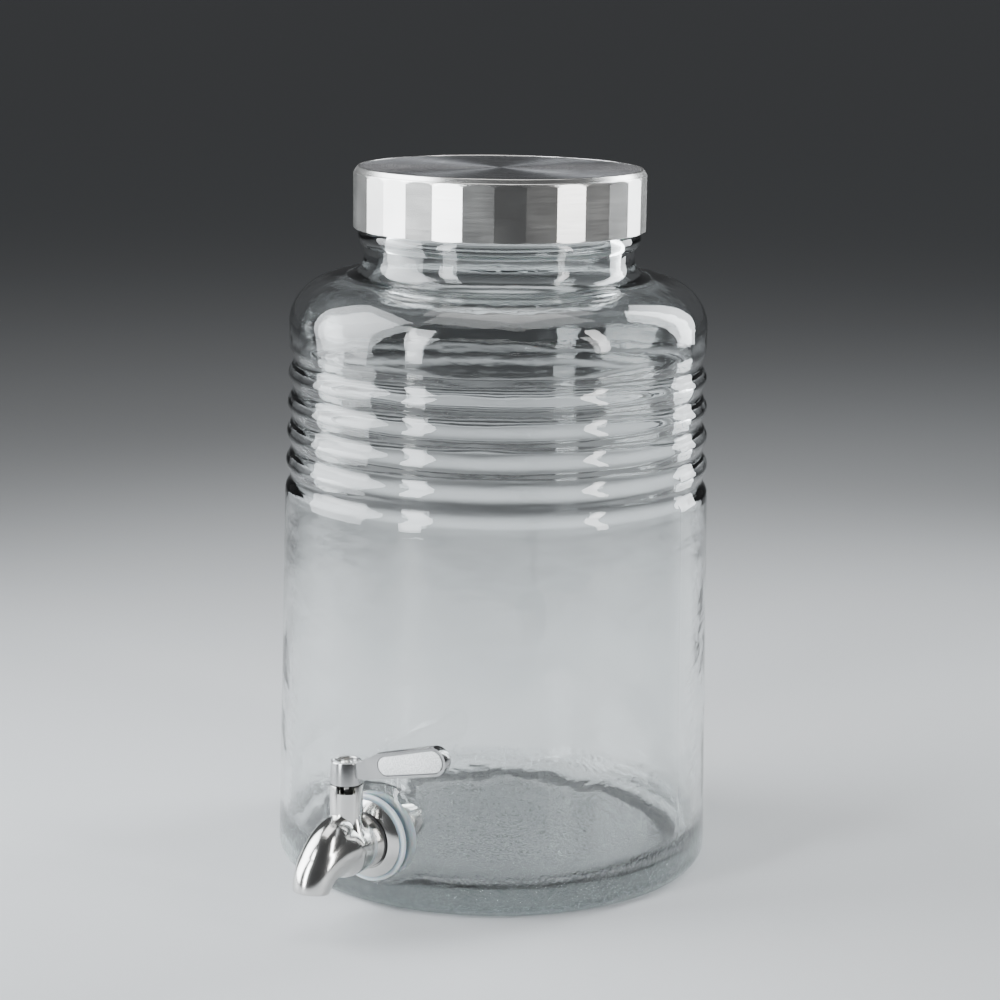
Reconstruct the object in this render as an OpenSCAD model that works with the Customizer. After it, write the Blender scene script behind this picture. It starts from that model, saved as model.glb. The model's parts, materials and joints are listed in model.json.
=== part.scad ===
// Countertop glass dispenser jar with a screw lid and a quarter-turn lever tap.
// The origin is the centre of the base on the table. +Z is up and the tap faces -Y.

/* [Jar] */
// Outside radius of the glass 100 mm above the table
body_r = 90; // [89:0.5:91]
// How much the radius shrinks for each mm of height
body_taper = 0.019; // [0:0.001:0.02]
// Thickness of the side wall
wall = 4.4; // [4:0.2:5]
// Thickness of the floor at its edge
floor_t = 9; // [8:0.5:11]
// Height of the push-up under the base
punt_h = 2.5; // [1.5:0.5:3]
// Radius of the rounded heel
heel_r = 6.5; // [5:0.5:8]
// Number of grooves round the upper body
groove_count = 5; // [3:1:5]
// Distance between grooves
groove_pitch = 12.2; // [11.5:0.1:12.3]
// Depth of a groove
groove_depth = 2.05; // [1:0.05:2.2]

/* [Neck and lid] */
// Outside radius of the neck finish that carries the thread
finish_r = 54.5; // [54.3:0.1:54.6]
// Lift of the lid in one turn
thread_pitch = 8; // [7.8:0.1:8]
// Height that the thread stands out from the neck and the liner
thread_h = 1.8; // [1.4:0.1:1.8]
// Number of flat facets round the lid
facet_count = 30; // [24:2:36]
// Radius of the lid over its facet corners
lid_r = 60.65; // [60.5:0.05:61]
// Height of the lid's lower edge above the table
lid_z = 268.5; // [268:0.1:268.6]
// Height of the lid
lid_h = 25.3; // [25.2:0.1:25.6]

/* [Tap] */
// Height of the tap's axis above the table
tap_z = 30; // [29:0.5:32]
// Distance of the flat glass seat from the jar's axis
seat_y = 91.9; // [91.7:0.1:92.1]
// Outside radius of the silicone washers
washer_r = 18; // [17:0.5:18.5]
// Thickness of a silicone washer
washer_t = 2; // [1.5:0.1:2.4]
// Thread radius of the shank
shank_r = 6; // [5.5:0.1:6]
// Radius of the barrel behind the spout
barrel_r = 11.2; // [11:0.1:11.5]
// Distance of the valve stem from the jar's axis
stem_y = 108.3; // [108:0.1:109]
// Outside radius of the valve housing
housing_r = 6.6; // [6.5:0.05:6.8]
// Height of the housing's rim above the table
housing_top = 57; // [56:0.1:58]
// Outside radius of the spout at its tip
tip_r = 7.3; // [7:0.1:7.6]

/* [Lever] */
// Distance from the stem to the end of the lever
lever_len = 48; // [44:0.5:50]
// Thickness of the lever
lever_t = 4; // [3.6:0.1:4.4]
// Height of the lever's hub
hub_h = 9.6; // [9.4:0.1:10.4]

/* [Hidden] */

slip = 0.05;            // radial clearance of the turning plug and stem
eps = 0.01;
big = 400;

// Jar profile
groove_z0 = 159.2;
groove_top = groove_z0 + groove_count * groove_pitch;
ribbed_taper = 0.03;
shoulder_z = max(229, groove_top + 2);
shoulder_a = 23;
shoulder_b = 20.2;
neck_z = 257;
neck_r = 56.2;
bead_z = 265.2;
bead_r = 58.6;
bead_arc = 5;
finish_top = 288.2;
lip_r = wall / 2;
mouth_r = finish_r - wall;
foot_in = 74;

// Lid
lid_top = lid_z + lid_h;
band_t = 1.35;
band_in = lid_r - band_t;
plate_t = 1.8;
plate_gap = 0.2;
plate_r = 57.9;
plate_z = lid_top - plate_t;
liner_floor = 1.8;
liner_in = finish_r + thread_h + 0.5;
liner_z = lid_z + 0.8;
gasket_t = 1.7;
thread_z = 275.5;
thread_turns = 1.25;
thread_base = 3;
thread_crest = 1.2;

// Tap, as distances from the jar's axis along the tap
glass_in = seat_y - wall;
flange_y0 = seat_y + washer_t;
flange_t = 2.6;
flange_r = 16.1;
seal_y0 = flange_y0 + flange_t - 0.3;
barrel_y0 = seal_y0 + 1.3;
weld_y = 110.2;
shank_in = 56.5;
nut_t = 6;
nut_flats = 18;
water_r = 4;
bore_r = 5;
bore_z = 23.5;
pocket_z = 22;

// Valve
plug_r = 4;
plug_top = 38;
port_r = 2.6;
stem_r = 2.5;
ring_r = 1.15;
gland_z = 43;
gland_t = 7;
notch_h = 2.8;
pin_orbit = 5.7;
pin_r = 0.7;

// Lever
hub_z = housing_top + 0.3;
hub_top = hub_z + hub_h;
hub_recess = 1.4;
drive_w = 3.5;
drive_top = hub_top - hub_recess - 0.8;
grip_r = 5.75;
grip_x = lever_len - grip_r;
grip_z = hub_z + 16.6;
root_r = 5.1;
root_x = 17;
root_z = hub_z + 10.1;
pad_depth = 0.5;
pad_rim = 1.4;
pad_proud = 0.2;

// The spout's tip, and how its last stretch leans forwards
tip_y = 132.1;
tip_z = tap_z - 11.4;
tip_lean = 9;
tip_reach = 12.15;
// Bezier curves of the spout's elbow and of the narrower hump that runs from the valve housing onto it,
// as [distance from the jar's axis, height]
spout_p = [[weld_y, tap_z + 0.2], [weld_y + 6.8, tap_z + 2.4],
    [tip_y - tip_reach * sin(tip_lean), tip_z + tip_reach * cos(tip_lean)], [tip_y, tip_z]];
hump_p = [[108, tap_z + 8.2], [113.5, tap_z + 9.8], [121.5, tap_z + 8.6], [127.3, tap_z - 2.2]];
hump_r = 5.9;
hump_end_r = 8.4;
tip_straight = 5;
tip_bore = 5.4;

function lerp(a, b, t) = a + (b - a) * t;
function side_r(z) = body_r + body_taper * (100 - z);
function arc(cx, cy, rx, ry, a0, a1, n) =
    [for (i = [0:n]) let (a = lerp(a0, a1, i / n)) [cx + rx * cos(a), cy + ry * sin(a)]];
function bezier(p, t) =
    pow(1 - t, 3) * p[0] + 3 * t * pow(1 - t, 2) * p[1] + 3 * t * t * (1 - t) * p[2] + t * t * t * p[3];
function bezier_slope(p, t) =
    pow(1 - t, 2) * (p[1] - p[0]) + 2 * t * (1 - t) * (p[2] - p[1]) + t * t * (p[3] - p[2]);

// Radius through the grooves, which share of the depth is kept for the inner wall
function ribbed_r(z, keep) =
    side_r(groove_z0) - ribbed_taper * (z - groove_z0)
    - keep * groove_depth * (1 - cos(360 * (z - groove_z0) / groove_pitch)) / 2;
function ribs(keep, steps) =
    [for (i = [0:groove_count * steps])
        let (z = groove_z0 + i * groove_pitch / steps) [ribbed_r(z, keep), z]];

shoulder_r = ribbed_r(groove_top, 0);

module outer_profile() {
    polygon(concat(
        [[0, punt_h], [foot_in * 0.5, punt_h * 0.8], [foot_in, 0]],
        arc(side_r(heel_r) - heel_r, heel_r, heel_r, heel_r, -90, 0, 8),
        ribs(1, 8),
        arc(shoulder_r - shoulder_a, shoulder_z, shoulder_a, shoulder_b, 0, 90, 12),
        arc(neck_r + neck_fillet(), neck_z, neck_fillet(), shoulder_z + shoulder_b < neck_z
            ? neck_z - shoulder_z - shoulder_b : neck_fillet(), 270, 180, 6),
        arc(bead_r - bead_arc, bead_z, bead_arc, bead_arc, -50, 50, 8),
        [[finish_r, 270]],
        arc(finish_r - lip_r, finish_top - lip_r, lip_r, lip_r, 0, 90, 5),
        [[0, finish_top]]));
}

function neck_fillet() = shoulder_r - shoulder_a - neck_r;

module inner_profile() {
    in_r = shoulder_r - wall;
    in_a = shoulder_a - 1;
    polygon(concat(
        [[0, floor_t + punt_h * 0.6]],
        arc(side_r(floor_t) - wall - 12, floor_t + 12, 12, 12, -90, 0, 6),
        [for (p = ribs(0.5, 6)) [p[0] - wall, p[1]]],
        arc(in_r - in_a, shoulder_z - 1, in_a, shoulder_b - wall + 1, 0, 90, 10),
        arc(mouth_r + 9, neck_z, 9, neck_z - shoulder_z - shoulder_b + wall, 270, 180, 6),
        [[mouth_r, finish_top - lip_r]],
        arc(mouth_r + lip_r, finish_top - lip_r, lip_r, lip_r, 180, 90, 5),
        [[mouth_r + lip_r, finish_top + 1], [0, finish_top + 1]]));
}

// Faces of a tube of rings, m points to a ring and n rings, closed at both ends
function tube_faces(m, n) = concat(
    [[for (i = [0:m - 1]) i]],
    [for (k = [0:n - 2], i = [0:m - 1]) let (j = (i + 1) % m)
        [k * m + i, (k + 1) * m + i, (k + 1) * m + j]],
    [for (k = [0:n - 2], i = [0:m - 1]) let (j = (i + 1) % m)
        [k * m + i, (k + 1) * m + j, k * m + j]],
    [[for (i = [m - 1:-1:0]) (n - 1) * m + i]]);

// A screw ridge on a wall of radius wall_r. out is 1 for a ridge that points outwards, -1 inwards
module screw_ridge(wall_r, out, z0) {
    steps = 60;
    run_out = 5;
    sink = 0.6;
    pts = [for (k = [0:steps])
        let (t = k / steps, a = 360 * thread_turns * t,
            grow = min(1, k / run_out, (steps - k) / run_out),
            z = z0 + thread_pitch * thread_turns * t,
            top = wall_r + out * (thread_h * grow - 0.3 * (1 - grow)),
            root = wall_r - out * sink)
        each [for (q = [[root, -thread_base / 2], [top, -thread_crest / 2],
                [top, thread_crest / 2], [root, thread_base / 2]])
            [q[0] * cos(a), q[0] * sin(a), z + q[1]]]];
    faces = tube_faces(4, steps + 1);
    polyhedron(pts, out > 0 ? [for (f = faces) [for (i = [len(f) - 1:-1:0]) f[i]]] : faces);
}

// Turns the local Z axis to the tap's axis, so that a height is a distance from the jar's axis
module along_tap() {
    translate([0, 0, tap_z]) rotate([90, 0, 0]) children();
}

// Moves to the valve stem's axis
module at_stem() {
    translate([0, -stem_y, 0]) children();
}

module ring(r_out, r_in, h) {
    difference() {
        cylinder(r = r_out, h = h, $fn = 96);
        translate([0, 0, -1]) cylinder(r = r_in, h = h + 2, $fn = 96);
    }
}

module glass_jar() {
    boss_r = washer_r + 2.5;
    color("lightcyan") difference() {
        union() {
            rotate_extrude($fn = 128) outer_profile();
            along_tap() translate([0, 0, seat_y - 5]) cylinder(r1 = boss_r + 3, r2 = boss_r, h = 5, $fn = 96);
            screw_ridge(finish_r, 1, thread_z);
        }
        rotate_extrude($fn = 128) inner_profile();
        along_tap() translate([0, 0, glass_in - 6]) cylinder(r = washer_r + 1, h = 6, $fn = 96);
        along_tap() translate([0, 0, glass_in - 2]) cylinder(r = shank_r + 0.5, h = 10, $fn = 96);
    }
}

module facet_prism() {
    linear_extrude(lid_h)
        polygon([for (i = [0:facet_count - 1]) let (a = 360 * i / facet_count) lid_r * [cos(a), sin(a)]]);
}

module lid_band() {
    edge_r = lid_r - 1.75;
    shoulder = 3.5;
    color("silver") translate([0, 0, lid_z]) difference() {
        intersection() {
            facet_prism();
            rotate_extrude($fn = 128) polygon(concat(
                [[0, 0], [lid_r - 0.5, 0], [lid_r + eps, 0.6], [lid_r + eps, lid_h - shoulder - 0.4]],
                arc(edge_r + 0.6, lid_h - shoulder, lid_r - edge_r - 0.6, shoulder - 1.9, 0, 60, 4),
                [[edge_r, lid_h], [0, lid_h]]));
        }
        translate([0, 0, -1]) cylinder(r = band_in, h = lid_h - plate_t + 1, $fn = 128);
        cylinder(r = plate_r, h = lid_h + 1, $fn = 128);
    }
}

module lid_top_plate() {
    color("gainsboro") translate([0, 0, plate_z]) cylinder(r = plate_r, h = plate_t - plate_gap, $fn = 128);
}

module lid_liner() {
    color("whitesmoke") union() {
        difference() {
            translate([0, 0, liner_z]) cylinder(r = band_in, h = plate_z - liner_z, $fn = 128);
            translate([0, 0, liner_z - 1])
                cylinder(r = liner_in, h = plate_z - liner_floor - liner_z + 1, $fn = 128);
        }
        screw_ridge(liner_in, -1, thread_z - thread_pitch / 2);
    }
}

module lid_gasket() {
    color("lightsteelblue") translate([0, 0, plate_z - liner_floor - gasket_t - 0.1])
        ring(liner_in - 0.9, mouth_r - 0.6, gasket_t);
}

module housing_space(extra) {
    at_stem() translate([0, 0, pocket_z]) cylinder(r = housing_r + extra, h = housing_top - pocket_z, $fn = 64);
}

// A notch in the housing's rim between two angles, counted from +X towards +Y
module rim_notch(a0, a1) {
    at_stem() rotate([0, 0, a0]) rotate_extrude(angle = a1 - a0, $fn = 64)
        translate([bore_r - 0.5, housing_top - notch_h]) square([housing_r - bore_r + 1, notch_h + 1]);
}

module tap_body() {
    pin_half = asin((pin_r + 0.1) / pin_orbit) + 0.5;
    color("silver") difference() {
        union() {
            along_tap() translate([0, 0, barrel_y0]) cylinder(r = barrel_r, h = weld_y - barrel_y0, $fn = 64);
            housing_space(0);
        }
        at_stem() translate([0, 0, bore_z]) cylinder(r = bore_r, h = big, $fn = 64);
        along_tap() translate([0, 0, barrel_y0 - 1])
            cylinder(r = water_r, h = stem_y + housing_r + 1 - barrel_y0, $fn = 64);
        rim_notch(-88.6, -21.5);
        rim_notch(90 - pin_half, 180 + pin_half);
    }
}

// A tube round a curve p from t0 to t1, r0 at its start and r1 at its end
module spout_sweep(p, t0, t1, r0, r1, bulge, n) {
    m = 32;
    pts = [for (k = [0:n])
        let (t = lerp(t0, t1, k / n), c = bezier(p, t), d = bezier_slope(p, t),
            u = d / norm(d), r = r0 - (r0 - r1) * pow(k / n, bulge))
        each [for (i = [0:m - 1]) let (a = 360 * i / m)
            [r * cos(a), -(c[0] - r * sin(a) * u[1]), c[1] + r * sin(a) * u[0]]]];
    polyhedron(pts, tube_faces(m, n + 1));
}

module spout() {
    bore_t = 0.25;
    color("silver") difference() {
        union() {
            spout_sweep(spout_p, 0, 1, barrel_r, tip_r, 1.3, 18);
            spout_sweep(hump_p, 0, 1, hump_r, hump_end_r, 1, 14);
            along_tap() translate([0, 0, weld_y]) cylinder(r = barrel_r, h = 4.7, $fn = 64);
        }
        translate([-big / 2, -weld_y, 0]) cube(big);
        spout_sweep(spout_p, bore_t, 0.97, water_r, tip_bore - 0.4, 1, 14);
        translate([0, -tip_y, tip_z]) rotate([-tip_lean, 0, 0]) translate([0, 0, -2])
            cylinder(r = tip_bore, h = tip_straight + 2, $fn = 64);
        along_tap() translate([0, 0, stem_y]) cylinder(r = water_r, h = 11, $fn = 64);
        housing_space(0);
    }
}

module threaded_shank() {
    pitch = 1.75;
    depth = 0.9;
    turns = floor((flange_y0 - shank_in - 3) / pitch);
    color("silver") along_tap() difference() {
        rotate_extrude($fn = 64) polygon(concat(
            [[0, shank_in], [shank_r - depth, shank_in]],
            [for (i = [0:turns - 1]) each [
                [shank_r, shank_in + (i + 0.45) * pitch], [shank_r, shank_in + (i + 0.55) * pitch],
                [shank_r - depth, shank_in + (i + 1) * pitch]]],
            [[shank_r - depth, barrel_y0], [0, barrel_y0]]));
        translate([0, 0, shank_in - 1]) cylinder(r = water_r, h = barrel_y0 - shank_in + 2, $fn = 64);
    }
}

module flange() {
    color("silver") along_tap() difference() {
        translate([0, 0, flange_y0]) rotate_extrude($fn = 96)
            polygon([[0, 0], [flange_r, 0], [flange_r, 0.6], [barrel_r + 0.9, flange_t], [0, flange_t]]);
        translate([0, 0, flange_y0 - 1]) cylinder(r = shank_r - 0.9, h = 9, $fn = 64);
        translate([0, 0, seal_y0]) cylinder(r = barrel_r + 0.4, h = 9, $fn = 96);
    }
}

module flange_seal() {
    color("dimgray") along_tap() translate([0, 0, seal_y0])
        ring(barrel_r + 0.4, shank_r - 0.9, barrel_y0 - seal_y0);
}

module washer(y0) {
    color("aliceblue") along_tap() translate([0, 0, y0]) ring(washer_r, shank_r + 0.1, washer_t);
}

module lock_nut() {
    corner_r = nut_flats / 2 / cos(30);
    y0 = glass_in - washer_t - nut_t;
    color("silver") along_tap() translate([0, 0, y0]) difference() {
        intersection() {
            cylinder(r = corner_r, h = nut_t, $fn = 6);
            rotate_extrude($fn = 64) polygon([[0, 0], [nut_flats / 2, 0], [corner_r + 0.2, 0.8],
                [corner_r + 0.2, nut_t - 0.8], [nut_flats / 2, nut_t], [0, nut_t]]);
        }
        translate([0, 0, -1]) cylinder(r = shank_r + 0.05, h = nut_t + 2, $fn = 64);
    }
}

module valve_plug() {
    foot = bore_z + 0.5;
    color("lightgray") at_stem() difference() {
        union() {
            translate([0, 0, foot]) cylinder(r = plug_r, h = plug_top - foot, $fn = 64);
            translate([0, 0, foot]) cylinder(r = stem_r, h = hub_z - foot, $fn = 64);
            translate([-drive_w / 2, -drive_w / 2, hub_z - 1]) cube([drive_w, drive_w, drive_top - hub_z + 1]);
        }
        translate([-9, 0, tap_z]) rotate([0, 90, 0]) cylinder(r = port_r, h = 18, $fn = 48);
        translate([0, 0, drive_top - 6]) cylinder(r = 1, h = 9, $fn = 32);
    }
}

module seat_sleeve() {
    color("white") at_stem() difference() {
        translate([0, 0, bore_z]) ring(bore_r, plug_r + slip, plug_top - bore_z);
        translate([0, 9, tap_z]) rotate([90, 0, 0]) cylinder(r = port_r, h = 18, $fn = 48);
    }
}

module gland_bush() {
    color("gray") at_stem() translate([0, 0, gland_z]) ring(bore_r, stem_r + slip, gland_t);
}

module stem_o_rings() {
    centre_r = stem_r + slip + ring_r;
    color("black") at_stem() for (i = [0:1])
        translate([0, 0, plug_top + 1.3 + i * 2.4]) rotate_extrude($fn = 64)
            translate([centre_r, 0]) circle(r = ring_r, $fn = 24);
}

// Flat outline of the grip, each end drawn in by inset, with local Y up
module grip_outline(inset) {
    hull() {
        translate([grip_x, grip_z]) circle(r = grip_r - inset, $fn = 48);
        translate([root_x + 4 * sign(inset), root_z + sign(inset)]) circle(r = root_r - inset, $fn = 48);
    }
}

module grip_plate(y0, t, inset) {
    translate([0, y0 + t, 0]) rotate([90, 0, 0]) linear_extrude(t) grip_outline(inset);
}

module web_plate() {
    translate([0, lever_t / 2, 0]) rotate([90, 0, 0]) linear_extrude(lever_t)
        polygon([[4, hub_z + 3.2], [9, hub_z + 3.3], [root_x, root_z - root_r + 0.02],
            [root_x + 3, root_z], [root_x - 1.6, root_z + root_r - 0.35], [9, hub_top + 1.5], [4, hub_top - 0.5]]);
}

module lever_handle() {
    color("silver") at_stem() difference() {
        union() {
            translate([0, 0, hub_z]) cylinder(r1 = housing_r, r2 = housing_r - 0.5, h = hub_h, $fn = 64);
            web_plate();
            grip_plate(-lever_t / 2, lever_t, 0);
        }
        translate([0, 0, hub_top - hub_recess]) cylinder(r = 4.4, h = 9, $fn = 64);
        translate([0, 0, hub_top - 4]) cylinder(r = 1.6, h = 9, $fn = 48);
        translate([-drive_w / 2, -drive_w / 2, hub_z - 1]) cube([drive_w, drive_w, drive_top - hub_z + 1]);
        translate([-pin_orbit, 0, hub_z - 1]) cylinder(r = pin_r, h = 4, $fn = 32);
        grip_plate(-lever_t / 2 - 1, 1 + pad_depth, pad_rim);
        grip_plate(lever_t / 2 - pad_depth, 1 + pad_depth, pad_rim);
    }
}

module lever_pad_front() {
    color("white") at_stem() grip_plate(-lever_t / 2 - pad_proud, pad_depth + pad_proud, pad_rim);
}

module lever_pad_back() {
    color("white") at_stem() grip_plate(lever_t / 2 - pad_depth, pad_depth + pad_proud, pad_rim);
}

module cap_screw() {
    head_z = hub_top - hub_recess;
    color("gray") at_stem() difference() {
        union() {
            translate([0, 0, head_z]) cylinder(r1 = 3.1, r2 = 2.5, h = 1.9, $fn = 48);
            translate([0, 0, drive_top - 5]) cylinder(r = 1, h = head_z - drive_top + 5.5, $fn = 32);
        }
        translate([0, 0, head_z + 0.7]) cylinder(r = 1.3, h = 3, $fn = 6);
    }
}

module stop_pin() {
    color("gray") at_stem() translate([-pin_orbit, 0, housing_top - notch_h + 0.4])
        cylinder(r = pin_r, h = hub_z + 3 - housing_top + notch_h - 0.4, $fn = 32);
}

glass_jar();
lid_band();
lid_top_plate();
lid_liner();
lid_gasket();
tap_body();
spout();
threaded_shank();
flange();
flange_seal();
washer(seat_y);  // outer_washer
washer(glass_in - washer_t);  // inner_washer
lock_nut();
valve_plug();
seat_sleeve();
gland_bush();
stem_o_rings();
lever_handle();
lever_pad_front();
lever_pad_back();
cap_screw();
stop_pin();
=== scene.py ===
"""Looks of a glass dispenser jar with a faceted steel lid and a lever tap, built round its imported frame."""

import json
import logging
import math
from dataclasses import dataclass
from enum import Enum
from typing import Any, Optional, Sequence

import bmesh
import bpy
from mathutils import Matrix, Vector, noise


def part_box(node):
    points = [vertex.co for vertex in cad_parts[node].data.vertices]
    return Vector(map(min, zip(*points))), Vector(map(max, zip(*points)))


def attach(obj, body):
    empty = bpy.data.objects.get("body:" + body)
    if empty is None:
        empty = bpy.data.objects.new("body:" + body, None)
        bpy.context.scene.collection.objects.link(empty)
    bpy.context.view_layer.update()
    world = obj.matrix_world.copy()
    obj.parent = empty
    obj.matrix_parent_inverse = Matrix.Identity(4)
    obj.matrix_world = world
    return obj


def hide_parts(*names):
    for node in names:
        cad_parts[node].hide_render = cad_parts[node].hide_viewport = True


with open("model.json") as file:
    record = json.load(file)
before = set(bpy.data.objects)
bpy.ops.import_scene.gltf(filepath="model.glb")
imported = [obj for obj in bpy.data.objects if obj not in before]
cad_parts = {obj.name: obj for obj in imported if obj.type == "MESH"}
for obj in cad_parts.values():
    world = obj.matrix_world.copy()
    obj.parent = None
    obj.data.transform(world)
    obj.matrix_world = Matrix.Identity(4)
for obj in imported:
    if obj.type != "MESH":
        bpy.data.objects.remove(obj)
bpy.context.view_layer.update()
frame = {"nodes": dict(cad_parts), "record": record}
log = logging.getLogger("jar")

MM = 0.001
X, Y, Z = range(3)
Profile = Sequence[tuple[float, float]]
Piece = bpy.types.Object


def low_of(node: str, axis: int) -> float:
    """Lowest coordinate of a CAD node along an axis, in millimetres."""
    return round(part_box(node)[0][axis] / MM, 3)


def high_of(node: str, axis: int) -> float:
    """Highest coordinate of a CAD node along an axis, in millimetres."""
    return round(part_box(node)[1][axis] / MM, 3)


def middle_of(node: str, axis: int) -> float:
    """Middle of a CAD node along an axis, in millimetres."""
    return (low_of(node, axis) + high_of(node, axis)) / 2


class Body(Enum):
    """The bodies of the frame that pieces ride on."""

    JAR = "jar"
    SEAL = "seal"
    LID = "lid"
    LEVER = "lever"


def arc(centre: tuple[float, float], radii: tuple[float, float], start: float, stop: float,
        steps: int) -> list[tuple[float, float]]:
    """Points on an elliptical arc.

    Args:
        centre: Centre of the ellipse.
        radii: Half widths along the first and second coordinate.
        start: First angle, in degrees.
        stop: Last angle, in degrees.
        steps: Number of stretches between the points.

    Returns:
        The points in order, both ends included.
    """
    turn = [math.radians(start + (stop - start) * i / steps) for i in range(steps + 1)]
    return [(centre[0] + radii[0] * math.cos(a), centre[1] + radii[1] * math.sin(a)) for a in turn]


def smooth_step(low: float, high: float, value: float) -> float:
    """Zero below low, one above high and a soft S curve between them."""
    t = min(1.0, max(0.0, (value - low) / (high - low)))
    return t * t * (3 - 2 * t)


class Bench:
    """The modelling bench: Blender's own operators, each used on a piece that is picked first."""

    @staticmethod
    def deselect() -> None:
        """Leaves edit mode and drops every selection."""
        if bpy.context.mode != "OBJECT":
            bpy.ops.object.mode_set(mode="OBJECT")
        bpy.ops.object.select_all(action="DESELECT")

    @classmethod
    def pick(cls, piece: Piece) -> None:
        """Selects one piece alone and makes it active."""
        cls.deselect()
        piece.select_set(True)
        bpy.context.view_layer.objects.active = piece

    @classmethod
    def edit(cls, piece: Piece, kind: str = "VERT") -> bmesh.types.BMesh:
        """Opens a piece in edit mode with nothing selected.

        Args:
            piece: The piece to open.
            kind: What is selected from now on, VERT, EDGE or FACE.

        Returns:
            The mesh as it is being edited.
        """
        cls.pick(piece)
        bpy.ops.object.mode_set(mode="EDIT")
        bpy.ops.mesh.select_mode(type=kind)
        bpy.ops.mesh.select_all(action="DESELECT")
        return bmesh.from_edit_mesh(piece.data)

    @classmethod
    def close(cls) -> None:
        """Merges what coincides, turns the faces outwards and leaves edit mode."""
        bpy.ops.mesh.select_all(action="SELECT")
        bpy.ops.mesh.remove_doubles(threshold=0.001 * MM)
        bpy.ops.mesh.normals_make_consistent(inside=False)
        bpy.ops.object.mode_set(mode="OBJECT")

    @classmethod
    def trace(cls, name: str, points: Sequence[Vector], closed: bool) -> Piece:
        """Draws a line through points, one extrusion at a time, and stays in edit mode.

        Args:
            name: Name of the new piece.
            points: The points, in metres.
            closed: Whether the line comes back to its first point.

        Returns:
            The new piece.
        """
        cls.deselect()
        bpy.ops.mesh.primitive_plane_add(size=MM)
        piece = bpy.context.active_object
        piece.name = piece.data.name = name
        bpy.ops.object.mode_set(mode="EDIT")
        bpy.ops.mesh.select_mode(type="VERT")
        bpy.ops.mesh.select_all(action="SELECT")
        bpy.ops.mesh.merge(type="CENTER")
        bpy.ops.transform.translate(value=points[0])
        for here, there in zip(points, [*points[1:], *points[:closed]]):
            bpy.ops.mesh.extrude_region_move(TRANSFORM_OT_translate={"value": there - here})
        bpy.ops.mesh.select_all(action="SELECT")
        if closed:
            bpy.ops.mesh.remove_doubles(threshold=0.001 * MM)
        return piece

    @classmethod
    def lathe(cls, name: str, profile: Profile, steps: int = 96, closed: bool = True) -> Piece:
        """Spins a profile round the Z axis.

        Args:
            name: Name of the new piece.
            profile: Points as (radius, height), in millimetres.
            steps: Number of steps in the full turn.
            closed: Whether the profile is a loop; an open one starts and ends on the axis.

        Returns:
            The closed piece.
        """
        piece = cls.trace(name, [Vector((r * MM, 0, z * MM)) for r, z in profile], closed)
        bpy.ops.mesh.spin(steps=steps, angle=math.tau, center=(0, 0, 0), axis=(0, 0, 1))
        cls.close()
        return piece

    @classmethod
    def rod(cls, name: str, r: float, low: float, high: float, steps: int) -> Piece:
        """A plain cutting tool round the Z axis, between two heights."""
        return cls.lathe(name, [(0, low), (r, low), (r, high), (0, high)], steps, closed=False)

    @classmethod
    def plate(cls, name: str, outline: Profile, low: float, high: float) -> Piece:
        """Fills an outline drawn in the XZ plane and extrudes it along Y.

        Args:
            name: Name of the new piece.
            outline: Points as (x, z), in millimetres.
            low: Where the plate starts on Y, in millimetres.
            high: Where it ends.

        Returns:
            The closed piece.
        """
        piece = cls.trace(name, [Vector((x * MM, low * MM, z * MM)) for x, z in outline], True)
        bpy.ops.mesh.edge_face_add()
        bpy.ops.mesh.extrude_region_move(TRANSFORM_OT_translate={"value": (0, (high - low) * MM, 0)})
        cls.close()
        return piece

    @classmethod
    def loft(cls, name: str, rings: Sequence[Sequence[Vector]]) -> Piece:
        """Extrudes a cap from ring to ring, so that a closed skin runs through them all.

        Args:
            name: Name of the new piece.
            rings: Rings with the same number of points, in metres.

        Returns:
            The closed piece.
        """
        cls.deselect()
        bpy.ops.mesh.primitive_circle_add(vertices=len(rings[0]), radius=MM, fill_type="NGON")
        piece = bpy.context.active_object
        piece.name = piece.data.name = name
        bpy.ops.object.mode_set(mode="EDIT")
        bpy.ops.mesh.select_mode(type="FACE")
        bpy.ops.mesh.select_all(action="SELECT")
        mesh = bmesh.from_edit_mesh(piece.data)
        for vert, spot in zip(list(mesh.faces)[0].verts, rings[0]):
            vert.co = spot
        for here, there in zip(rings, rings[1:]):
            bpy.ops.mesh.extrude_region_move(TRANSFORM_OT_translate={"value": (0, 0, 0)})
            mesh = bmesh.from_edit_mesh(piece.data)
            for vert in [v for v in mesh.verts if v.select]:
                nearest = min(range(len(here)), key=lambda i: (here[i] - vert.co).length_squared)
                vert.co = there[nearest]
            bmesh.update_edit_mesh(piece.data)
        cls.close()
        return piece

    @classmethod
    def ridge(cls, name: str, root: float, crest: float, widths: tuple[float, float], pitch: float,
              start: float, turns: float, per_turn: int = 72) -> Piece:
        """A helical ridge that tapers off at both ends.

        Args:
            name: Name of the new piece.
            root: Radius at the foot of the ridge, in millimetres.
            crest: Radius at its top; less than root for a ridge that points inwards.
            widths: Width at the foot and at the top.
            pitch: Rise in one turn.
            start: Height of its lower end.
            turns: Number of turns.
            per_turn: Number of rings in one turn.

        Returns:
            The closed piece.
        """
        steps = round(turns * per_turn)
        taper = per_turn / 9
        rings = []
        for k in range(steps + 1):
            turn, grow = math.tau * turns * k / steps, min(1, k / taper, (steps - k) / taper)
            middle = start + pitch * turns * k / steps
            top = root + (crest - root) * max(grow, 0.08)
            foot_half, top_half = widths[0] / 2, widths[1] / 2
            section = [(root, -foot_half), (top, -top_half), (top, top_half), (root, foot_half)]
            rings.append([Vector((r * math.cos(turn), r * math.sin(turn), middle + h)) * MM
                          for r, h in section])
        return cls.loft(name, rings)

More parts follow.
